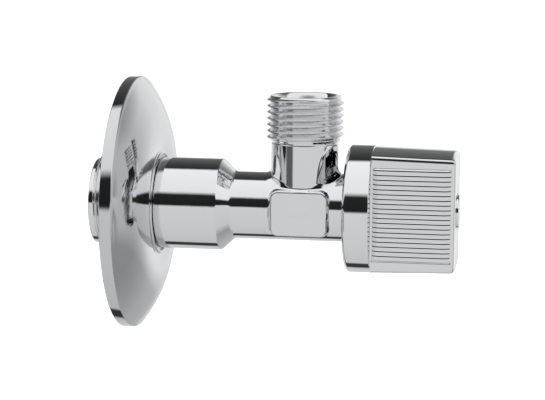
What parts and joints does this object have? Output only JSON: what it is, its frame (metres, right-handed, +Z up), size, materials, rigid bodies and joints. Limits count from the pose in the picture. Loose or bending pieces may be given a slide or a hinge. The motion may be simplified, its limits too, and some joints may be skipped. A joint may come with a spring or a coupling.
{
  "type": "angle stop valve",
  "caption": "Chromed angle stop valve with threaded wall inlet, threaded outlet at right angles, ribbed flat-sided knob and round sliding wall escutcheon.",
  "frame": {"origin": "centre of the inlet's open end face, on the inlet axis", "axes": "+X along the inlet axis from the wall towards the knob, +Z up along the outlet axis, +Y towards the back"},
  "size_m": [0.0795, 0.055, 0.055],
  "materials": {
    "chromed_brass": "polished chrome plating on forged brass",
    "chromed_sheet": "chrome plating on pressed sheet, slightly softer gloss",
    "chromed_plastic": "chrome plated ABS",
    "turned_brass": "turned, uncoated",
    "plated_steel": "zinc plated",
    "black_rubber": "moulded EPDM",
    "fibre": "pressed fibre sheet",
    "white_plastic": "PTFE"
  },
  "bodies": {
    "valve": {"valve_body": "chromed_brass", "bonnet": "turned_brass", "bonnet_gasket": "fibre", "thrust_washer": "white_plastic", "clip_washer": "turned_brass"},
    "knob_and_spindle": {"spindle": "turned_brass", "spindle_o_ring_inner": "black_rubber", "spindle_o_ring_outer": "black_rubber", "retaining_clip": "plated_steel", "knob": "chromed_plastic", "knob_insert": "turned_brass", "lock_washer": "plated_steel", "knob_screw": "plated_steel", "index_cap": "chromed_plastic"},
    "plunger": {"plunger": "turned_brass", "plunger_o_ring": "black_rubber", "valve_washer": "black_rubber", "washer_screw": "turned_brass"},
    "escutcheon": {"escutcheon": "chromed_sheet"}
  },
  "joints": [
    {"name": "knob_turn", "type": "hinge", "parent": "valve", "child": "knob_and_spindle", "pos_m": [0.0612, 0, 0], "axis": [1, 0, 0], "range_deg": [0, 720]},
    {"name": "plunger_slide", "type": "slide", "parent": "valve", "child": "plunger", "axis": [1, 0, 0], "range_m": [0, 0.003]},
    {"name": "escutcheon_slide", "type": "slide", "parent": "valve", "child": "escutcheon", "axis": [1, 0, 0], "range_m": [-0.0071, 0.022]}
  ],
  "couplings": [
    {"joint": "plunger_slide", "follows": "knob_turn", "m_per_rad": 0.00023873}
  ]
}
